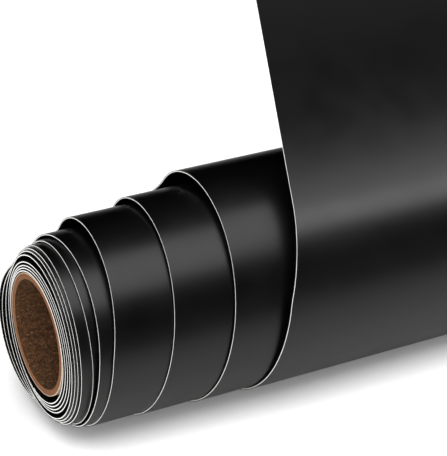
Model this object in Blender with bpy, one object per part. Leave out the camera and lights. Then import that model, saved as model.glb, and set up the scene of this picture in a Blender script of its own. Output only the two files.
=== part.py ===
"""A roll of sign vinyl, loosened and telescoped, with its last stretch of sheet lifted off the roll.

Frame: the roll lies along X on the table z = 0, its protruding end towards -X and its front towards -Y.
The origin is in the middle of the flat on which the outer turn rests.

The web is one strip, wound film side out. A place on it is its turn number: whole numbers stand at the
front of the roll, 0 at the front of the last tight turn and 1 to 4 at the fronts of the loose turns A, B,
C and the outer turn. Going outward, the web climbs the front, crosses the top and comes down the back.
"""

import math

import bmesh
import bpy

MM = 0.001

# The web: vinyl film, a layer of adhesive, and the release liner
WEB_WIDTH = 305 * MM
WEB_LENGTH = 1981 * MM
FILM = 0.10 * MM
ADHESIVE = 0.03 * MM
LINER = 0.20 * MM
WEB = FILM + ADHESIVE + LINER

# The core, a paperboard tube with a thin outer ply
BORE_RADIUS = 12.7 * MM
BOARD = 1.30 * MM
GLUE = 0.05 * MM
PLY = 0.15 * MM
CORE_LENGTH = 305 * MM
CORE_SIDES = 48
CORE_Y = -0.8 * MM
CORE_Z = 24.20 * MM

# The turns at their fronts, from the tight turn -6 outward to the outer turn (4): where the middle of the
# web reaches frontmost, rearmost, lowest and highest, and how far the left edge stands in from the core's end
FRONT = [value * MM for value in (-18.4, -19.4, -19.9, -20.4, -21.1, -21.6, -23.3, -24.2, -24.9, -25.9, -28.6)]
BACK = [value * MM for value in (15.6, 16.3, 16.5, 16.9, 17.5, 18.0, 19.8, 21.4, 22.7, 24.2, 28.6)]
LOWEST = [value * MM for value in (6.1, 4.7, 4.2, 3.7, 3.2, 2.75, 2.25, 1.75, 1.2, 0.65, -0.1)]
HIGHEST = [value * MM for value in (40.6, 42.5, 43.4, 43.9, 44.3, 44.9, 45.3, 48.1, 49.6, 51.6, 59.5)]
EDGE = [value * MM for value in (0.35, 0.4, 0.95, 1.45, 1.95, 4.5, 5.4, 8.4, 22.4, 37.0, 50.2)]
FIRST_LISTED = -6

# The innermost turn, beside the core; from here to the first listed turn the web grows evenly
TIGHT_TURNS = 9.3
INNER_FRONT = -15.4 * MM
INNER_BACK = 13.9 * MM
INNER_LOWEST = 8.3 * MM
INNER_HIGHEST = 38.5 * MM
INNER_EDGE = -0.1 * MM

# The loosened turns sag backwards: how far each turn stands out, and over which part of a turn
SAG = [value * MM for value in (0, 1.8, 5.6, 9.6, 12.1, 12.5, 12.8, 13.0, 13.1, 13.0, 14.0)]
SAG_PART = (0.37, 0.73)

# The edges advance a little faster over the front of the roll than behind it
EDGE_SWING = 0.85 * MM
EDGE_RIPPLE = 0.50 * MM

# The sheet lifts off the outer turn at this angle above the front, then leans back and curls slightly
LIFT_ANGLE = math.radians(40)
SHEET_SLOPE = 0.19
STRAIGHT = 50 * MM
CURL_RADIUS = 260 * MM

# Cuts between pieces of web that move apart
FACETS = 32
CUT = 0.65625
CUT_GAP = 0.30 * MM
HINGE_GAP = 0.40 * MM
PEEL_STRIP = 30 * MM

OUTER_TURN = 4
LIFT_TURN = OUTER_TURN + LIFT_ANGLE / math.tau
LEFT = -(EDGE[-1] + WEB_WIDTH / 2)
OUTER_HALF_HEIGHT = (HIGHEST[-1] - LOWEST[-1]) / 2


def smooth(t):
    return t * t * (3 - 2 * t)


def along(innermost, values, turn):
    """A turn's value, which passes smoothly into the next turn's value behind the roll."""
    if turn >= OUTER_TURN:
        return values[-1]
    if turn < FIRST_LISTED:
        return innermost + (values[0] - innermost) * (turn + TIGHT_TURNS) / (FIRST_LISTED + TIGHT_TURNS)
    whole = math.floor(turn)
    value = values[whole - FIRST_LISTED]
    return value + (values[whole - FIRST_LISTED + 1] - value) * smooth(turn - whole)


def turn_shape(turn):
    """Half height, half depth and centre (y, z) of the web's middle at one place."""
    front = along(INNER_FRONT, FRONT, turn)
    back = along(INNER_BACK, BACK, turn)
    lowest = along(INNER_LOWEST, LOWEST, turn)
    highest = along(INNER_HIGHEST, HIGHEST, turn)
    return (highest - lowest) / 2, (back - front) / 2, (front + back) / 2, (lowest + highest) / 2


def sag(turn):
    """How far the web stands out from its round shape behind the roll."""
    part = (turn % 1 - SAG_PART[0]) / (SAG_PART[1] - SAG_PART[0])
    if not 0 < part < 1:
        return 0.0
    return along(0, SAG, turn) * math.sin(math.pi * part) ** 2


def edge_x(turn):
    """The left edge of the web: a straight run from each turn's place to the next."""
    if turn < FIRST_LISTED:
        stand_in = along(INNER_EDGE, EDGE, turn)
    elif turn < OUTER_TURN:
        whole = math.floor(turn)
        place = EDGE[whole - FIRST_LISTED]
        stand_in = place + (EDGE[whole - FIRST_LISTED + 1] - place) * (turn - whole)
    else:
        stand_in = EDGE[-1] + SHEET_SLOPE * OUTER_HALF_HEIGHT * math.tau * (turn - OUTER_TURN)
    angle = math.tau * turn
    looseness = min(1.0, max(0.0, turn + 1))
    swing = EDGE_SWING * math.sin(angle) + EDGE_RIPPLE * math.sin(2 * angle)
    return LEFT + stand_in + looseness * swing


def round_place(turn, offset):
    """The y and z of the web's offset surface at one place, before the table flattens it."""
    half_height, half_depth, centre_y, centre_z = turn_shape(turn)
    angle = math.tau * turn
    out = sag(turn) + offset
    return centre_y - (half_depth + out) * math.cos(angle), centre_z + (half_height + out) * math.sin(angle)


def web_section(turn, outer, inner):
    """The four corners of the layer between two offsets from the web's middle, at one place."""
    x = edge_x(turn)
    corners = []
    for offset, side in ((outer, 0), (outer, WEB_WIDTH), (inner, WEB_WIDTH), (inner, 0)):
        y, z = round_place(turn, offset)
        flattened = max(z, WEB / 2 - offset)  # where it would sink into the table the web lies flat
        corners.append((x + side, y, flattened))
    return corners


def sheet_section(distance, outer, inner):
    """The same four corners on the lifted sheet, at a distance from where it leaves the outer turn."""
    start_y, start_z = round_place(LIFT_TURN, 0)
    x = edge_x(LIFT_TURN) + SHEET_SLOPE * distance
    straight = min(distance, STRAIGHT)
    bend = (distance - straight) / CURL_RADIUS
    lean = LEAN + bend
    y = start_y + straight * math.sin(LEAN) + CURL_RADIUS * (math.cos(LEAN) - math.cos(lean))
    z = start_z + straight * math.cos(LEAN) + CURL_RADIUS * (math.sin(lean) - math.sin(LEAN))
    corners = []
    for offset, side in ((outer, 0), (outer, WEB_WIDTH), (inner, WEB_WIDTH), (inner, 0)):
        corners.append((x + side, y - offset * math.cos(lean), z + offset * math.sin(lean)))
    return corners


def lean_at_lift():
    """The sheet leaves along the outer turn's own tangent: its angle from upright, leaning back."""
    half_height, half_depth, _, _ = turn_shape(LIFT_TURN)
    return math.atan2(half_depth * math.sin(LIFT_ANGLE), half_height * math.cos(LIFT_ANGLE))


def wound_length():
    """The length of web from its inner end to where the sheet lifts off."""
    steps = 2000
    length = 0.0
    middle = web_section(-TIGHT_TURNS, 0, 0)[0]
    for step in range(1, steps + 1):
        turn = -TIGHT_TURNS + (LIFT_TURN + TIGHT_TURNS) * step / steps
        following = web_section(turn, 0, 0)[0]
        length += math.dist(middle[1:], following[1:])
        middle = following
    return length


LEAN = lean_at_lift()
SHEET_LENGTH = WEB_LENGTH - wound_length()
PEEL_LINE = SHEET_LENGTH - PEEL_STRIP

LAYERS = {
    "film": (WEB / 2, WEB / 2 - FILM),
    "liner": (LINER - WEB / 2, -WEB / 2),
}


def flat_turns():
    """Where the flat that the outer turn rests on begins and ends, to either side of its lowest point."""
    lowest_turn = OUTER_TURN - 0.25
    step = 1 / 4000
    ends = []
    for direction in (-step, step):
        turn = lowest_turn
        while round_place(turn, 0)[1] < WEB / 2:
            turn += direction
        ends.append(turn)
    return ends


def turns_between(start, end):
    """Turn numbers from start to end: every facet's own place, with one facet over the resting flat."""
    first = math.floor(start * FACETS) + 1
    last = math.ceil(end * FACETS) - 1
    inside = [step / FACETS for step in range(first, last + 1)]
    flat_start, flat_end = flat_turns()
    if start < flat_start and flat_end < end:
        inside = [turn for turn in inside if not flat_start < turn < flat_end]
        inside += [flat_start, flat_end]
    return [start] + sorted(inside) + [end]


def gap_in_turns(gap, turn):
    return gap / (math.tau * turn_shape(turn)[0])


def add_material(name, colour, roughness):
    material = bpy.data.materials.new(name)
    material.use_nodes = True
    shader = material.node_tree.nodes["Principled BSDF"]
    shader.inputs["Base Color"].default_value = (*colour, 1)
    shader.inputs["Roughness"].default_value = roughness
    shader.inputs["Metallic"].default_value = 0
    material.diffuse_color = (*colour, 1)
    return material


def film_material(name):
    """Matte black calendered vinyl."""
    return add_material(name, (0.012, 0.012, 0.013), 0.42)


def liner_material(name):
    """White silicone-coated release paper."""
    return add_material(name, (0.82, 0.82, 0.80), 0.60)


def board_material(name):
    """Brown recycled paperboard."""
    return add_material(name, (0.19, 0.09, 0.045), 0.90)


def ply_material(name):
    """Cream outer ply of the core."""
    return add_material(name, (0.72, 0.58, 0.45), 0.80)


LAYER_MATERIALS = {"film": film_material, "liner": liner_material}


def add_object(name, bm, material, origin=(0, 0, 0)):
    """Closes the bmesh into a named object whose own origin is given, for a piece that turns."""
    bmesh.ops.recalc_face_normals(bm, faces=bm.faces)
    bmesh.ops.translate(bm, vec=[-value for value in origin], verts=bm.verts)
    mesh = bpy.data.meshes.new(name)
    bm.to_mesh(mesh)
    bm.free()
    mesh.shade_smooth()
    mesh.set_sharp_from_angle(angle=math.radians(30))
    mesh.materials.append(material)
    obj = bpy.data.objects.new(name, mesh)
    obj.location = origin
    bpy.context.collection.objects.link(obj)
    return obj


def add_strip(name, layer, sections, origin=(0, 0, 0)):
    """One layer of web as a closed strip through its sections, each four corners."""
    bm = bmesh.new()
    rings = [[bm.verts.new(corner) for corner in section] for section in sections]
    bm.faces.new(rings[0])
    for ring, following in zip(rings, rings[1:]):
        for side in range(4):
            other = (side + 1) % 4
            bm.faces.new((ring[side], following[side], following[other], ring[other]))
    bm.faces.new(list(reversed(rings[-1])))
    return add_object(name, bm, LAYER_MATERIALS[layer](name + "_surface"), origin)


def add_wound_piece(piece, start, end, start_gap, end_gap):
    """The film and the liner of one stretch of the winding."""
    first = start + gap_in_turns(start_gap / 2, start)
    last = end - gap_in_turns(end_gap / 2, end)
    for layer, (outer, inner) in LAYERS.items():
        sections = [web_section(turn, outer, inner) for turn in turns_between(first, last)]
        add_strip(f"{layer}_{piece}", layer, sections)


def curl_distances(start, end):
    """Places along the lifted sheet: its ends, and steps through the curled part."""
    step = 6 * MM
    count = int((SHEET_LENGTH - STRAIGHT) / step)
    inside = [STRAIGHT + step * index for index in range(count + 1)]
    return [start] + [place for place in inside if start + MM < place < end - MM] + [end]


def hinge_point():
    """On the line where the sheet leaves the outer turn, at the middle of the web's thickness."""
    return web_section(LIFT_TURN, 0, 0)[0]


def peel_point():
    """Just outside the film, on the line where its end strip peels up."""
    return sheet_section(PEEL_LINE, WEB / 2 + FILM, 0)[0]


def add_raised_sheet():
    """The lifted sheet turns about the line where it leaves the roll; its film stops short of the end."""
    film_end = PEEL_LINE - CUT_GAP / 2
    for layer, end in (("film", film_end), ("liner", SHEET_LENGTH)):
        outer, inner = LAYERS[layer]
        places = curl_distances(HINGE_GAP / 2, end)
        sections = [sheet_section(place, outer, inner) for place in places]
        add_strip(f"{layer}_raised_sheet", layer, sections, hinge_point())


def add_film_end():
    """The last strip of film, which peels off the liner."""
    outer, inner = LAYERS["film"]
    places = curl_distances(PEEL_LINE + CUT_GAP / 2, SHEET_LENGTH)
    sections = [sheet_section(place, outer, inner) for place in places]
    add_strip("film_free_end", "film", sections, peel_point())


def add_tube(name, inner_radius, outer_radius, material):
    """A plain tube along X with its axis through the object's origin, spun from its wall's section."""
    bm = bmesh.new()
    half = CORE_LENGTH / 2
    section = [(-half, inner_radius), (-half, outer_radius), (half, outer_radius), (half, inner_radius)]
    verts = [bm.verts.new((x, 0, radius)) for x, radius in section]
    edges = [bm.edges.new((verts[index], verts[(index + 1) % 4])) for index in range(4)]
    bmesh.ops.spin(
        bm, geom=verts + edges, axis=(1, 0, 0), cent=(0, 0, 0), steps=CORE_SIDES, angle=math.tau
    )
    bmesh.ops.remove_doubles(bm, verts=bm.verts, dist=0.01 * MM)
    tube = add_object(name, bm, material)
    tube.location = (LEFT + half, CORE_Y, CORE_Z)
    return tube


def add_core():
    """The paperboard tube and the cream ply around it."""
    board_radius = BORE_RADIUS + BOARD
    ply_inside = board_radius + GLUE
    add_tube("core_board", BORE_RADIUS, board_radius, board_material("core_board_surface"))
    add_tube("core_outer_ply", ply_inside, ply_inside + PLY, ply_material("core_ply_surface"))


def main():
    for obj in list(bpy.data.objects):
        bpy.data.objects.remove(obj, do_unlink=True)
    add_core()
    add_wound_piece("winding", -TIGHT_TURNS, CUT, 0, CUT_GAP)
    for index, piece in enumerate(("turn_a", "turn_b", "turn_c")):
        add_wound_piece(piece, CUT + index, CUT + index + 1, CUT_GAP, CUT_GAP)
    add_wound_piece("outer_turn", CUT + 3, LIFT_TURN, CUT_GAP, HINGE_GAP)
    add_raised_sheet()
    add_film_end()


main()
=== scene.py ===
import math

import bmesh
import bpy
from mathutils import Matrix, Vector


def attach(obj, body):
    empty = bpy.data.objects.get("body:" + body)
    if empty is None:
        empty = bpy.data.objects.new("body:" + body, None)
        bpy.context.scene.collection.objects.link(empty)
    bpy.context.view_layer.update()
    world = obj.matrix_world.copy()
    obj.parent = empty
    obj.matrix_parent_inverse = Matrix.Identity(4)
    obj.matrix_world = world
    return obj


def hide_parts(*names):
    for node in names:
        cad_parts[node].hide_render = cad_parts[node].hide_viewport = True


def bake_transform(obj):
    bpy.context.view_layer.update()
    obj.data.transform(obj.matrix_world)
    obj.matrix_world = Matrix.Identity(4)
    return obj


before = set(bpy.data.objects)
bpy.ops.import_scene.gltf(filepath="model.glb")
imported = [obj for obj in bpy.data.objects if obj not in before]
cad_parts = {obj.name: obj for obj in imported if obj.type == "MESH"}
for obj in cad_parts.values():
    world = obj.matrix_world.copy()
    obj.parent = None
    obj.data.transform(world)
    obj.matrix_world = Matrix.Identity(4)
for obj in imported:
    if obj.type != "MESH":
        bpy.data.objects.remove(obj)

mm = 0.001
turn360 = math.tau
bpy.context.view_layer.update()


def linear(hexColour):
    # sRGB hex to linear red, green, blue, alpha
    channels = [int(hexColour[i:i + 2], 16) / 255 for i in (1, 3, 5)]
    return [c / 12.92 if c <= 0.04045 else ((c + 0.055) / 1.055) ** 2.4 for c in channels] + [1.0]


def addNode(tree, kind, settings=None, links=None):
    # one node, with its settings (properties or inputs) and what feeds it
    node = tree.nodes.new(kind)
    for key, value in (settings or {}).items():
        if isinstance(key, str) and hasattr(node, key):
            setattr(node, key, value)
        else:
            node.inputs[key].default_value = value
    for socket, source in (links or {}).items():
        tree.links.new(source, node.inputs[socket])
    return node


def startFinish(name, roughness, ior=1.5, specular=0.5):
    finish = bpy.data.materials.new(name)
    finish.use_nodes = True
    shader = finish.node_tree.nodes["Principled BSDF"]
    shader.inputs["Roughness"].default_value = roughness
    shader.inputs["IOR"].default_value = ior
    shader.inputs["Specular IOR Level"].default_value = specular
    shader.inputs["Metallic"].default_value = 0.0
    return finish, finish.node_tree, shader


def smoothStep(t):
    return t * t * (3 - 2 * t)


vinyl = {
    "colour": "#020202",
    "colourWorn": "#040404",
    "roughness": 0.33,
    "specular": 0.45,
    "grain": 0.35 * mm,  # calender grain, drawn about twice its real size so that it shows
    "grainDepth": 0.004 * mm,
    "cockle": 22 * mm,  # slow waves left in the film by winding
    "cockleDepth": 0.05 * mm,
}


def calenderedVinylFinish():
    # plasticised PVC film, rolled between matt steel calenders: an even deep black with a soft, wide sheen
    finish, tree, shader = startFinish("calenderedVinylFace", vinyl["roughness"], 1.53, vinyl["specular"])
    place = addNode(tree, "ShaderNodeTexCoord").outputs["Object"]
    cloud = addNode(tree, "ShaderNodeTexNoise", {"Scale": 1 / (9 * mm), "Detail": 4.0}, {"Vector": place})
    tint = addNode(tree, "ShaderNodeMix", {"data_type": "RGBA", 6: linear(vinyl["colour"]),
                                           7: linear(vinyl["colourWorn"])}, {0: cloud.outputs["Fac"]})
    tree.links.new(tint.outputs[2], shader.inputs["Base Color"])
    dull = addNode(tree, "ShaderNodeMapRange",
                   {"From Min": 0.3, "From Max": 0.7, "To Min": vinyl["roughness"] - 0.02,
                    "To Max": vinyl["roughness"] + 0.03}, {"Value": cloud.outputs["Fac"]})
    tree.links.new(dull.outputs["Result"], shader.inputs["Roughness"])
    grain = addNode(tree, "ShaderNodeTexNoise", {"Scale": 1 / vinyl["grain"], "Detail": 2.0}, {"Vector": place})
    cockle = addNode(tree, "ShaderNodeTexNoise", {"Scale": 1 / vinyl["cockle"], "Detail": 1.0}, {"Vector": place})
    wave = addNode(tree, "ShaderNodeBump", {"Strength": 0.5, "Distance": vinyl["cockleDepth"]},
                   {"Height": cockle.outputs["Fac"]})
    bump = addNode(tree, "ShaderNodeBump", {"Strength": 0.5, "Distance": vinyl["grainDepth"]},
                   {"Height": grain.outputs["Fac"], "Normal": wave.outputs["Normal"]})
    tree.links.new(bump.outputs["Normal"], shader.inputs["Normal"])
    return finish


def slitVinylFinish():
    # the same film where the slitting knife passed: slightly polished black with fine knife lines
    finish, tree, shader = startFinish("slitVinylEdge", 0.34, 1.53, 0.4)
    place = addNode(tree, "ShaderNodeTexCoord").outputs["Object"]
    lines = addNode(tree, "ShaderNodeTexNoise", {"Scale": 1 / (0.2 * mm), "Detail": 2.0}, {"Vector": place})
    tint = addNode(tree, "ShaderNodeMix", {"data_type": "RGBA", 6: linear("#030303"), 7: linear("#0a0a0a")},
                   {0: lines.outputs["Fac"]})
    tree.links.new(tint.outputs[2], shader.inputs["Base Color"])
    bump = addNode(tree, "ShaderNodeBump", {"Strength": 0.3, "Distance": 0.01 * mm},
                   {"Height": lines.outputs["Fac"]})
    tree.links.new(bump.outputs["Normal"], shader.inputs["Normal"])
    return finish


def acrylicAdhesiveFinish():
    # clear acrylic adhesive over black film: dark grey, wet-looking, with a fine orange peel
    finish, tree, shader = startFinish("acrylicAdhesiveFace", 0.22, 1.47, 0.5)
    place = addNode(tree, "ShaderNodeTexCoord").outputs["Object"]
    peel = addNode(tree, "ShaderNodeTexVoronoi", {"Scale": 1 / (0.8 * mm)}, {"Vector": place})
    tint = addNode(tree, "ShaderNodeMix", {"data_type": "RGBA", 6: linear("#1c1c1e"), 7: linear("#2a2a2c")},
                   {0: peel.outputs["Distance"]})
    tree.links.new(tint.outputs[2], shader.inputs["Base Color"])
    bump = addNode(tree, "ShaderNodeBump", {"Strength": 0.4, "Distance": 0.02 * mm},
                   {"Height": peel.outputs["Distance"]})
    tree.links.new(bump.outputs["Normal"], shader.inputs["Normal"])
    return finish


def siliconePaperFinish():
    # clay-coated kraft paper cured with silicone: white, smooth, with a faint fibre cloud
    finish, tree, shader = startFinish("siliconeReleaseFace", 0.32, 1.42, 0.5)
    place = addNode(tree, "ShaderNodeTexCoord").outputs["Object"]
    fibre = addNode(tree, "ShaderNodeTexNoise", {"Scale": 1 / (3 * mm), "Detail": 6.0}, {"Vector": place})
    tint = addNode(tree, "ShaderNodeMix", {"data_type": "RGBA", 6: linear("#eeeeea"), 7: linear("#fbfbf8")},
                   {0: fibre.outputs["Fac"]})
    tree.links.new(tint.outputs[2], shader.inputs["Base Color"])
    bump = addNode(tree, "ShaderNodeBump", {"Strength": 0.15, "Distance": 0.02 * mm},
                   {"Height": fibre.outputs["Fac"]})
    tree.links.new(bump.outputs["Normal"], shader.inputs["Normal"])
    return finish


def paperEdgeFinish():
    # the liner's slit edge: bare white pulp, matt, with short fibres and a little dust
    finish, tree, shader = startFinish("slitPaperEdge", 0.85, 1.5, 0.3)
    place = addNode(tree, "ShaderNodeTexCoord").outputs["Object"]
    fibre = addNode(tree, "ShaderNodeTexNoise", {"Scale": 1 / (0.9 * mm), "Detail": 5.0, "Roughness": 0.7},
                    {"Vector": place})
    tint = addNode(tree, "ShaderNodeMix", {"data_type": "RGBA", 6: linear("#cfcfca"), 7: linear("#fdfdfb")},
                   {0: fibre.outputs["Fac"]})
    tree.links.new(tint.outputs[2], shader.inputs["Base Color"])
    bump = addNode(tree, "ShaderNodeBump", {"Strength": 0.4, "Distance": 0.03 * mm},
                   {"Height": fibre.outputs["Fac"]})
    tree.links.new(bump.outputs["Normal"], shader.inputs["Normal"])
    return finish


def inkedLinerFinish():
    # the liner's back, flooded with black ink: a flat black that shows hardly any reflection
    finish, tree, shader = startFinish("inkedLinerBack", 0.62, 1.45, 0.12)
    place = addNode(tree, "ShaderNodeTexCoord").outputs["Object"]
    pulp = addNode(tree, "ShaderNodeTexNoise", {"Scale": 1 / (1.6 * mm), "Detail": 5.0}, {"Vector": place})
    tint = addNode(tree, "ShaderNodeMix", {"data_type": "RGBA", 6: linear("#030303"), 7: linear("#080808")},
                   {0: pulp.outputs["Fac"]})
    tree.links.new(tint.outputs[2], shader.inputs["Base Color"])
    bump = addNode(tree, "ShaderNodeBump", {"Strength": 0.25, "Distance": 0.02 * mm},
                   {"Height": pulp.outputs["Fac"]})
    tree.links.new(bump.outputs["Normal"], shader.inputs["Normal"])
    return finish


coreBoard = {
    "bore": 12.7 * mm,
    "outside": 14.0 * mm,
    "length": 305 * mm,
    "axisY": -0.8 * mm,
    "axisZ": 24.2 * mm,
    "edgeBreak": 0.12 * mm,  # the saw leaves the rims slightly rounded
    "plyPitch": 62 * mm,  # how far the spiral ply advances in one turn
    "seam": 0.5 * mm,
    "around": 96,
    "colourDark": "#22140a",
    "colour": "#5f4129",
    "colourFleck": "#8a6546",
}


def spiralSeam(tree, place):
    # 1 on the spiral butt seam of the innermost ply, 0 elsewhere
    parts = addNode(tree, "ShaderNodeSeparateXYZ", links={"Vector": place})
    angle = addNode(tree, "ShaderNodeMath", {"operation": "ARCTAN2"}, {0: parts.outputs["Z"], 1: parts.outputs["Y"]})
    share = addNode(tree, "ShaderNodeMath", {"operation": "DIVIDE", 1: turn360}, {0: angle.outputs[0]})
    along = addNode(tree, "ShaderNodeMath", {"operation": "DIVIDE", 1: coreBoard["plyPitch"]},
                    {0: parts.outputs["X"]})
    both = addNode(tree, "ShaderNodeMath", {"operation": "ADD"}, {0: share.outputs[0], 1: along.outputs[0]})
    saw = addNode(tree, "ShaderNodeMath", {"operation": "FRACT"}, {0: both.outputs[0]})
    middle = addNode(tree, "ShaderNodeMath", {"operation": "SUBTRACT", 1: 0.5}, {0: saw.outputs[0]})
    away = addNode(tree, "ShaderNodeMath", {"operation": "ABSOLUTE"}, {0: middle.outputs[0]})
    width = coreBoard["seam"] / coreBoard["plyPitch"]
    return addNode(tree, "ShaderNodeMapRange", {"From Min": width, "From Max": 0.0, "To Min": 0.0, "To Max": 1.0},
                   {"Value": away.outputs[0]}).outputs["Result"]


def greyboardFinish():
    # recycled paperboard, spirally wound: mid brown with darker and paler fibre flecks and an open spiral seam
    finish, tree, shader = startFinish("recycledBoardBore", 0.92, 1.5, 0.2)
    place = addNode(tree, "ShaderNodeTexCoord").outputs["Object"]
    cloud = addNode(tree, "ShaderNodeTexNoise", {"Scale": 1 / (0.9 * mm), "Detail": 6.0, "Roughness": 0.8},
                    {"Vector": place})
    ramp = addNode(tree, "ShaderNodeMapRange", {"From Min": 0.35, "From Max": 0.65}, {"Value": cloud.outputs["Fac"]})
    base = addNode(tree, "ShaderNodeMix", {"data_type": "RGBA", 6: linear(coreBoard["colourDark"]),
                                           7: linear(coreBoard["colour"])}, {0: ramp.outputs["Result"]})
    # flecks: pulp specks are about 0.3 mm, drawn at 0.5 mm so that they show
    fleck = addNode(tree, "ShaderNodeTexNoise", {"Scale": 1 / (0.5 * mm), "Detail": 3.0, "Roughness": 0.7},
                    {"Vector": place})
    speck = addNode(tree, "ShaderNodeMapRange", {"From Min": 0.55, "From Max": 0.70, "To Max": 0.75},
                    {"Value": fleck.outputs["Fac"]})
    pale = addNode(tree, "ShaderNodeMix", {"data_type": "RGBA", 7: linear(coreBoard["colourFleck"])},
                   {0: speck.outputs["Result"], 6: base.outputs[2]})
    seam = spiralSeam(tree, place)
    faint = addNode(tree, "ShaderNodeMath", {"operation": "MULTIPLY", 1: 0.3}, {0: seam})  # the plies butt closely
    dark = addNode(tree, "ShaderNodeMix", {"data_type": "RGBA", 7: linear("#2a1a11")},
                   {0: faint.outputs[0], 6: pale.outputs[2]})
    tree.links.new(dark.outputs[2], shader.inputs["Base Color"])
    height = addNode(tree, "ShaderNodeMath", {"operation": "SUBTRACT"},
                     {0: fleck.outputs["Fac"], 1: faint.outputs[0]})
    bump = addNode(tree, "ShaderNodeBump", {"Strength": 0.6, "Distance": 0.08 * mm}, {"Height": height.outputs[0]})
    tree.links.new(bump.outputs["Normal"], shader.inputs["Normal"])
    return finish


def sawnBoardFinish():
    # the board's sawn end: tan, layered, with torn fibres
    finish, tree, shader = startFinish("sawnBoardEnd", 0.9, 1.5, 0.2)
    place = addNode(tree, "ShaderNodeTexCoord").outputs["Object"]
    parts = addNode(tree, "ShaderNodeSeparateXYZ", links={"Vector": place})
    flat = addNode(tree, "ShaderNodeCombineXYZ", links={"X": parts.outputs["Y"], "Y": parts.outputs["Z"]})
    out = addNode(tree, "ShaderNodeVectorMath", {"operation": "LENGTH"}, {0: flat.outputs["Vector"]})
    # plies are 0.3 mm thick: one dark glue line for each
    plies = addNode(tree, "ShaderNodeMath", {"operation": "MULTIPLY", 1: turn360 / (0.325 * mm)},
                    {0: out.outputs["Value"]})
    lines = addNode(tree, "ShaderNodeMath", {"operation": "SINE"}, {0: plies.outputs[0]})
    torn = addNode(tree, "ShaderNodeTexNoise", {"Scale": 1 / (0.8 * mm), "Detail": 5.0, "Roughness": 0.7},
                   {"Vector": place})
    blend = addNode(tree, "ShaderNodeMath", {"operation": "MULTIPLY_ADD", 1: 0.18},
                    {0: lines.outputs[0], 2: torn.outputs["Fac"]})
    tint = addNode(tree, "ShaderNodeMix", {"data_type": "RGBA", 6: linear("#4a2c17"), 7: linear("#8a5c3a")},
                   {0: blend.outputs[0]})
    tree.links.new(tint.outputs[2], shader.inputs["Base Color"])
    bump = addNode(tree, "ShaderNodeBump", {"Strength": 0.7, "Distance": 0.08 * mm}, {"Height": blend.outputs[0]})
    tree.links.new(bump.outputs["Normal"], shader.inputs["Normal"])
    return finish


def creamPlyFinish():
    # the core's bleached outer wrap: thin cream paper, matt, with a light fibre cloud
    finish, tree, shader = startFinish("creamWrapPaper", 0.8, 1.5, 0.3)
    place = addNode(tree, "ShaderNodeTexCoord").outputs["Object"]
    fibre = addNode(tree, "ShaderNodeTexNoise", {"Scale": 1 / (1.2 * mm), "Detail": 6.0}, {"Vector": place})
    tint = addNode(tree, "ShaderNodeMix", {"data_type": "RGBA", 6: linear("#b89c84"), 7: linear("#d8c3ad")},
                   {0: fibre.outputs["Fac"]})
    tree.links.new(tint.outputs[2], shader.inputs["Base Color"])
    bump = addNode(tree, "ShaderNodeBump", {"Strength": 0.35, "Distance": 0.03 * mm},
                   {"Height": fibre.outputs["Fac"]})
    tree.links.new(bump.outputs["Normal"], shader.inputs["Normal"])
    return finish


finishes = {
    "vinylFace": calenderedVinylFinish(),
    "vinylEdge": slitVinylFinish(),
    "adhesive": acrylicAdhesiveFinish(),
    "release": siliconePaperFinish(),
    "paperEdge": paperEdgeFinish(),
    "linerBack": inkedLinerFinish(),
    "bore": greyboardFinish(),
    "boardEnd": sawnBoardFinish(),
    "cream": creamPlyFinish(),
}
print("finishes made:", len(finishes))


# The web is one strip wound film side out. A place on it is its turn number: 0 at the front of the last tight
# turn, 1 to 4 at the fronts of the loose turns A, B, C and the outer turn. It climbs the front going outward.
web = {
    "width": 305 * mm,
    "film": 0.10 * mm,
    "adhesive": 0.03 * mm,
    "liner": 0.20 * mm,
    "length": 1981 * mm,
    "tightTurns": 9.3,
    "sectionsPerTurn": 180,
}
web["thick"] = web["film"] + web["adhesive"] + web["liner"]

# where each turn reaches at its front, from the tight turn -6 to the outer turn 4, all in mm
turns = {
    "first": -6,
    "outer": 4,
    "front": (-18.4, -19.4, -19.9, -20.4, -21.1, -21.6, -23.3, -24.2, -24.9, -25.9, -28.6),
    "back": (15.6, 16.3, 16.5, 16.9, 17.5, 18.0, 19.8, 21.4, 22.7, 24.2, 28.6),
    "lowest": (6.1, 4.7, 4.2, 3.7, 3.2, 2.75, 2.25, 1.75, 1.2, 0.65, -0.1),
    "highest": (40.6, 42.5, 43.4, 43.9, 44.3, 44.9, 45.3, 48.1, 49.6, 51.6, 59.5),
    "edge": (0.35, 0.4, 0.95, 1.45, 1.95, 4.5, 5.4, 8.4, 22.4, 37.0, 50.2),
    "sag": (0, 1.8, 5.6, 9.6, 12.1, 12.5, 12.8, 13.0, 13.1, 13.0, 14.0),
    "innermost": {"front": -15.4, "back": 13.9, "lowest": 8.3, "highest": 38.5, "edge": -0.1, "sag": 0},
    "sagPart": (0.37, 0.73),
    "edgeSwing": 0.85 * mm,
    "edgeRipple": 0.50 * mm,
}
leftEnd = -(turns["edge"][-1] * mm + web["width"] / 2)

sheet = {
    "liftAngle": math.radians(40),
    "slope": 0.19,  # how far the sheet steps along the roll for each length of itself
    "straight": 50 * mm,
    "curlRadius": 260 * mm,
    "peelStrip": 30 * mm,
    "seamPlace": 30 * mm,
}
liftTurn = turns["outer"] + sheet["liftAngle"] / turn360


def alongTurns(what, turn):
    # a turn's value in metres, which passes smoothly into the next turn's behind the roll
    values = turns[what]
    first = turns["first"]
    if turn >= turns["outer"]:
        return values[-1] * mm
    if turn < first:
        inner = turns["innermost"][what]
        tight = web["tightTurns"]
        return (inner + (values[0] - inner) * (turn + tight) / (first + tight)) * mm
    whole = math.floor(turn)
    value = values[whole - first]
    return (value + (values[whole - first + 1] - value) * smoothStep(turn - whole)) * mm


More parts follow.
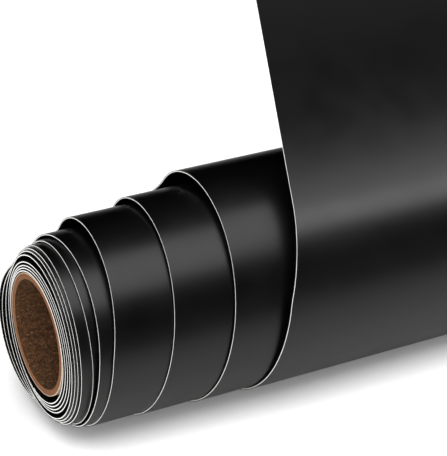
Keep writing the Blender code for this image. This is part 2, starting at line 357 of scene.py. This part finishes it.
def edgePlace(turn):
    # x of the web's left edge
    values = turns["edge"]
    first = turns["first"]
    outerHalf = (turns["highest"][-1] - turns["lowest"][-1]) / 2 * mm
    if turn < first:
        stand = alongTurns("edge", turn)
    elif turn < turns["outer"]:
        whole = math.floor(turn)
        value = values[whole - first]
        stand = (value + (values[whole - first + 1] - value) * (turn - whole)) * mm
    else:
        stand = values[-1] * mm + sheet["slope"] * outerHalf * turn360 * (turn - turns["outer"])
    angle = turn360 * turn
    loose = min(1.0, max(0.0, turn + 1))
    swing = turns["edgeSwing"] * math.sin(angle) + turns["edgeRipple"] * math.sin(2 * angle)
    return leftEnd + stand + loose * swing


def roundPlace(turn, offset):
    # y and z of the surface at an offset from the web's middle, before the table flattens it
    front, back = alongTurns("front", turn), alongTurns("back", turn)
    low, high = alongTurns("lowest", turn), alongTurns("highest", turn)
    part = (turn % 1 - turns["sagPart"][0]) / (turns["sagPart"][1] - turns["sagPart"][0])
    sag = alongTurns("sag", turn) * math.sin(math.pi * part) ** 2 if 0 < part < 1 else 0.0
    out = sag + offset
    angle = turn360 * turn
    y = (front + back) / 2 - ((back - front) / 2 + out) * math.cos(angle)
    z = (low + high) / 2 + ((high - low) / 2 + out) * math.sin(angle)
    return y, z


def woundSection(turn, outer, inner):
    x = edgePlace(turn)
    corners = []
    for offset, side in ((outer, 0), (outer, web["width"]), (inner, web["width"]), (inner, 0)):
        y, z = roundPlace(turn, offset)
        corners.append((x + side, y, max(z, web["thick"] / 2 - offset)))
    return corners


outerHeight = (turns["highest"][-1] - turns["lowest"][-1]) / 2
outerDepth = (turns["back"][-1] - turns["front"][-1]) / 2
liftLean = math.atan2(outerDepth * math.sin(sheet["liftAngle"]), outerHeight * math.cos(sheet["liftAngle"]))


def sheetSection(distance, outer, inner):
    # the lifted sheet: straight on along the outer turn's tangent, then a slow curl
    startY, startZ = roundPlace(liftTurn, 0)
    x = edgePlace(liftTurn) + sheet["slope"] * distance
    straight = min(distance, sheet["straight"])
    lean = liftLean + (distance - straight) / sheet["curlRadius"]
    y = startY + straight * math.sin(liftLean) + sheet["curlRadius"] * (math.cos(liftLean) - math.cos(lean))
    z = startZ + straight * math.cos(liftLean) + sheet["curlRadius"] * (math.sin(lean) - math.sin(liftLean))
    corners = []
    for offset, side in ((outer, 0), (outer, web["width"]), (inner, web["width"]), (inner, 0)):
        corners.append((x + side, y - offset * math.cos(lean), z + offset * math.sin(lean)))
    return corners


def woundLength():
    steps = 2000
    length = 0.0
    before = woundSection(-web["tightTurns"], 0, 0)[0]
    for step in range(1, steps + 1):
        turn = -web["tightTurns"] + (liftTurn + web["tightTurns"]) * step / steps
        after = woundSection(turn, 0, 0)[0]
        length += math.dist(before[1:], after[1:])
        before = after
    return length


sheetLength = web["length"] - woundLength()
peelLine = sheetLength - sheet["peelStrip"]
print("sheet off the roll, mm:", round(sheetLength / mm, 2))

layers = {
    "film": (web["thick"] / 2, web["thick"] / 2 - web["film"]),
    "liner": (web["liner"] - web["thick"] / 2, -web["thick"] / 2),
}
# each layer's outer face, right edge, inner face, left edge and cut ends
layerFinishes = {
    "film": ("vinylFace", "vinylEdge", "adhesive", "vinylEdge", "vinylEdge"),
    "liner": ("release", "paperEdge", "linerBack", "paperEdge", "paperEdge"),
}


def makeStrip(name, layer, sections):
    # one layer of the web as a closed strip, each side with its own finish
    bm = bmesh.new()
    rings = [[bm.verts.new(corner) for corner in section] for section in sections]
    bm.faces.new(rings[0]).material_index = 4
    for ring, following in zip(rings, rings[1:]):
        for side in range(4):
            other = (side + 1) % 4
            face = bm.faces.new((ring[side], following[side], following[other], ring[other]))
            face.material_index = side
    bm.faces.new(list(reversed(rings[-1]))).material_index = 4
    bmesh.ops.recalc_face_normals(bm, faces=bm.faces)
    mesh = bpy.data.meshes.new(name)
    bm.to_mesh(mesh)
    bm.free()
    for key in layerFinishes[layer]:
        mesh.materials.append(finishes[key])
    mesh.shade_smooth()
    mesh.set_sharp_from_angle(angle=math.radians(30))
    piece = bpy.data.objects.new(name, mesh)
    bpy.context.collection.objects.link(piece)
    return piece


def steps(start, end, step):
    count = max(1, math.ceil((end - start) / step))
    return [start + (end - start) * index / count for index in range(count + 1)]


def woundStrip(name, layer, start, end):
    outer, inner = layers[layer]
    places = steps(start, end, 1 / web["sectionsPerTurn"])
    return makeStrip(name, layer, [woundSection(turn, outer, inner) for turn in places])


# from the top of each turn, down its back, the web passes from one turn's body to the next one's
windingParts = [
    # name, from turn, to turn, body, next body, CAD piece it stands for
    ("winding", -web["tightTurns"], 0.25, "winding", None, "winding"),
    ("backOfWinding", 0.25, 0.75, "winding", "turn_a", None),
    ("turnA", 0.75, 1.25, "turn_a", None, "turn_a"),
    ("backOfTurnA", 1.25, 1.75, "turn_a", "turn_b", None),
    ("turnB", 1.75, 2.25, "turn_b", None, "turn_b"),
    ("backOfTurnB", 2.25, 2.75, "turn_b", "turn_c", None),
    ("turnC", 2.75, 3.25, "turn_c", None, "turn_c"),
    ("backOfTurnC", 3.25, 3.75, "turn_c", "outer_turn", None),
]
for layer in layers:
    for part, start, end, body, nextBody, cadPiece in windingParts:
        piece = woundStrip(layer + part[0].upper() + part[1:], layer, start, end)
        if nextBody:
            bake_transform(piece)
        else:
            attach(piece, body)
        if cadPiece:
            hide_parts(layer + "_" + cadPiece)
print("winding and loose turns made")


for layer, (outer, inner) in layers.items():
    bottomUp = [woundSection(turn, outer, inner) for turn in steps(3.75, liftTurn, 1 / web["sectionsPerTurn"])]
    offRoll = [sheetSection(place, outer, inner) for place in steps(0, sheet["seamPlace"], 2 * mm)[1:]]
    piece = makeStrip(layer + "OuterTurn", layer, bottomUp + offRoll)
    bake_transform(piece)
    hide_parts(layer + "_outer_turn")

# the liner's upper part stays as one piece; the film's upper part is one piece too and lies on it to the sheet's end
outer, inner = layers["liner"]
places = steps(sheet["seamPlace"], sheetLength, 2 * mm)
linerSheet = makeStrip("linerRaisedSheet", "liner", [sheetSection(place, outer, inner) for place in places])
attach(linerSheet, "raised_sheet")
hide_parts("liner_raised_sheet")

outer, inner = layers["film"]
places = steps(sheet["seamPlace"], peelLine - 6 * mm, 2 * mm)
places += steps(peelLine - 6 * mm, peelLine + 6 * mm, 0.5 * mm)[1:]  # close together about the peel line
places += steps(peelLine + 6 * mm, sheetLength, 2 * mm)[1:]
filmSheet = makeStrip("filmRaisedSheet", "film", [sheetSection(place, outer, inner) for place in places])
peelStart = Vector(sheetSection(peelLine - 4 * mm, 0, 0)[0])
peelEnd = Vector(sheetSection(peelLine + 4 * mm, 0, 0)[0])
peelEnd.x = peelStart.x  # so that the two points lie straight across the web
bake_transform(filmSheet)
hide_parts("film_raised_sheet", "film_free_end")
print("outer turn and raised sheet made")


corePly = {"inside": 14.05 * mm, "outside": 14.20 * mm, "lip": 0.05 * mm}


def makeTube(name, profile, around, kinds):
    # a ring-shaped profile (x, radius, finish index of the stretch after it) turned about the core's axis
    bm = bmesh.new()
    angles = [turn360 * i / around for i in range(around)]
    rings = []
    for x, radius, _ in profile:
        rings.append([bm.verts.new((x, radius * math.cos(angle), radius * math.sin(angle))) for angle in angles])
    for index, (_, _, kind) in enumerate(profile):
        ring, following = rings[index], rings[(index + 1) % len(rings)]
        for i in range(around):
            face = bm.faces.new((ring[i], ring[(i + 1) % around], following[(i + 1) % around], following[i]))
            face.material_index = kind
    bmesh.ops.recalc_face_normals(bm, faces=bm.faces)
    mesh = bpy.data.meshes.new(name)
    bm.to_mesh(mesh)
    bm.free()
    for key in kinds:
        mesh.materials.append(finishes[key])
    mesh.shade_smooth()
    mesh.set_sharp_from_angle(angle=math.radians(35))
    tube = bpy.data.objects.new(name, mesh)
    tube.location = (leftEnd + coreBoard["length"] / 2, coreBoard["axisY"], coreBoard["axisZ"])
    bpy.context.collection.objects.link(tube)
    return tube


half = coreBoard["length"] / 2
rim = coreBoard["edgeBreak"]
bore, outside = coreBoard["bore"], coreBoard["outside"]
boreRings = [(-half + rim + (2 * half - 2 * rim) * i / 30, bore, 0) for i in range(31)]
boardProfile = boreRings[:-1] + [(half - rim, bore, 1), (half, bore + rim, 1), (half, outside - rim / 2, 1),
                                 (half - rim / 2, outside, 2), (-half + rim / 2, outside, 1),
                                 (-half, outside - rim / 2, 1), (-half, bore + rim, 1)]
boardTube = makeTube("coreBoardTube", boardProfile, coreBoard["around"], ("bore", "boardEnd", "bore"))
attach(boardTube, "core")
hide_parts("core_board")

lip = corePly["lip"]
plyIn, plyOut = corePly["inside"], corePly["outside"]
plyProfile = [(-half, plyIn, 0), (-half, plyOut - lip, 0), (-half + lip, plyOut, 0),
              (half - lip, plyOut, 0), (half, plyOut - lip, 0), (half, plyIn, 0)]
plyTube = makeTube("coreCreamWrap", plyProfile, coreBoard["around"], ("cream",))
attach(plyTube, "core")
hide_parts("core_outer_ply")
print("core made")


floorSetup = {
    "size": 6.0,
    "drop": 0.02 * mm,
    # the two colours below are painted shade that the floor shows only in reflections: light grey within mirrorNear
    # in front of the roll's middle, dark grey beyond mirrorFar
    "mirrorNear": 40 * mm,
    "mirrorFar": 110 * mm,
    "paintedShadeNearColour": "#c0c0c0",
    "paintedShadeFarColour": "#424242",
}


def paperFloorFinish():
    # seamless background paper: matt white as the camera sees it; to glossy rays its colour is painted shade, light
    # grey close to the roll and dark grey further in front of it, standing in for the light falling off across the
    # floor
    finish, tree, shader = startFinish("seamlessPaperFloor", 0.95, 1.5, 0.1)
    place = addNode(tree, "ShaderNodeTexCoord").outputs["Object"]
    tooth = addNode(tree, "ShaderNodeTexNoise", {"Scale": 1 / (2 * mm), "Detail": 3.0}, {"Vector": place})
    tint = addNode(tree, "ShaderNodeMix", {"data_type": "RGBA", 6: linear("#f2f2f2"), 7: linear("#f6f6f6")},
                   {0: tooth.outputs["Fac"]})
    parts = addNode(tree, "ShaderNodeSeparateXYZ", links={"Vector": place})
    # painted shade, for reflections only: darker the further the floor lies in front of the roll, in place of the
    # light's fall-off
    near = addNode(tree, "ShaderNodeMapRange",
                   {"From Min": -floorSetup["mirrorFar"], "From Max": -floorSetup["mirrorNear"]},
                   {"Value": parts.outputs["Y"]})
    paintedReflectionShade = addNode(tree, "ShaderNodeMix",
                       {"data_type": "RGBA", 6: linear(floorSetup["paintedShadeFarColour"]),
                        7: linear(floorSetup["paintedShadeNearColour"])}, {0: near.outputs["Result"]})
    # glossy rays see the painted shade; all other rays see the plain white paper
    ray = addNode(tree, "ShaderNodeLightPath")
    both = addNode(tree, "ShaderNodeMix", {"data_type": "RGBA"},
                   {0: ray.outputs["Is Glossy Ray"], 6: tint.outputs[2], 7: paintedReflectionShade.outputs[2]})
    tree.links.new(both.outputs[2], shader.inputs["Base Color"])
    return finish


floorMesh = bpy.data.meshes.new("paperFloor")
reach = floorSetup["size"] / 2
floorCorners = [(-reach, -reach, 0), (reach, -reach, 0), (reach, reach, 0), (-reach, reach, 0)]
floorMesh.from_pydata(floorCorners, [], [(0, 1, 2, 3)])
floorMesh.materials.append(paperFloorFinish())
paperFloor = bpy.data.objects.new("paperFloor", floorMesh)
paperFloor.location.z = -floorSetup["drop"]
bpy.context.collection.objects.link(paperFloor)

# Each softbox is flagged off the pieces that it shouldn't show in, as a black card would do in a studio
def fromRoll(elevation, distance, across=0.0):
    # a place round the roll as seen from its left end; the mirrored view always runs to the right
    angle = math.radians(elevation)
    y = -distance * math.cos(angle) - across * math.sin(angle)
    z = distance * math.sin(angle) - across * math.cos(angle)
    return (0.46 * distance, y - 0.02, z + 0.045)


studio = {
    "skyStrength": 1.25,
    # elevation of its middle, distance, height of the box, radiance, how far it is set off downward
    "turnsBox": (64, 0.9, 0.78, 2.2, 0.0),
    "outerBox": (54, 0.07, 0.036, 3.6, 0.014),
    "sheetBox": (54, 0.09, 0.17, 0.36, -0.130),
    "length": 2.4,
    "fillStrength": 3.6,
}


def areaLight(name, place, aim, size, radiance):
    light = bpy.data.lights.new(name, "AREA")
    light.shape = "RECTANGLE"
    light.size, light.size_y = size
    light.energy = radiance * math.pi * size[0] * size[1]
    lamp = bpy.data.objects.new(name, light)
    lamp.location = place
    lamp.rotation_euler = (Vector(aim) - Vector(place)).to_track_quat("-Z", "Y").to_euler()
    lamp.visible_camera = False
    bpy.context.collection.objects.link(lamp)
    return lamp


def softbox(name, setup, shown):
    elevation, distance, height, radiance, across = setup
    place = fromRoll(elevation, distance, across)
    angle = math.radians(elevation)
    aim = (place[0], place[1] + math.cos(angle), place[2] - math.sin(angle))
    lamp = areaLight(name, place, aim, (studio["length"], height), radiance)
    lit = bpy.data.collections.new(name + "Shows")
    for obj in shown:
        lit.objects.link(obj)
    lamp.light_linking.receiver_collection = lit
    return lamp


shownPieces = [obj for obj in bpy.data.objects if obj.type == "MESH" and not obj.hide_render]
sheetPieces = [filmSheet, linerSheet]
outerPieces = [obj for obj in shownPieces if obj.name.endswith("OuterTurn")]
turnPieces = [obj for obj in shownPieces if obj not in sheetPieces + outerPieces]
softbox("turnsSoftbox", studio["turnsBox"], turnPieces)
softbox("outerSoftbox", studio["outerBox"], outerPieces + sheetPieces)
softbox("sheetSoftbox", studio["sheetBox"], outerPieces + sheetPieces)

# a low fill in front lights the floor close to the roll and the pale edges; no surface mirrors it
fill = areaLight("lowFill", (-0.3, -1.2, 0.4), (0, 0, 0), (2.0, 0.4), studio["fillStrength"])
fill.visible_glossy = False

world = bpy.data.worlds.new("whiteStudio")
world.use_nodes = True
world.node_tree.nodes["Background"].inputs["Color"].default_value = (1, 1, 1, 1)
world.node_tree.nodes["Background"].inputs["Strength"].default_value = studio["skyStrength"]
bpy.context.scene.world = world
world.cycles_visibility.glossy = False  # the black film mirrors only the softboxes and the floor
bpy.context.scene.view_settings.view_transform = "Standard"

cameraSetup = {
    "place": (-0.33705, -0.36237, 0.19718),
    "lens": 148.42,
    "yaw": math.radians(26.78),
    "pitch": math.radians(21.33),
    "roll": math.radians(-2.88),
}
yaw, pitch, rollAngle = cameraSetup["yaw"], cameraSetup["pitch"], cameraSetup["roll"]
forward = Vector((math.sin(yaw) * math.cos(pitch), math.cos(yaw) * math.cos(pitch), -math.sin(pitch)))
level = Vector((math.cos(yaw), -math.sin(yaw), 0))
upright = level.cross(forward)
rightHand = level * math.cos(rollAngle) + upright * math.sin(rollAngle)
upHand = upright * math.cos(rollAngle) - level * math.sin(rollAngle)
camera = bpy.data.objects.new("viewCamera", bpy.data.cameras.new("viewCamera"))
camera.data.lens = cameraSetup["lens"]
camera.data.clip_start = 0.01
axes = Matrix((rightHand, upHand, -forward)).transposed().to_4x4()
camera.matrix_world = Matrix.Translation(cameraSetup["place"]) @ axes
bpy.context.collection.objects.link(camera)
bpy.context.scene.camera = camera
print("floor, light and camera made")
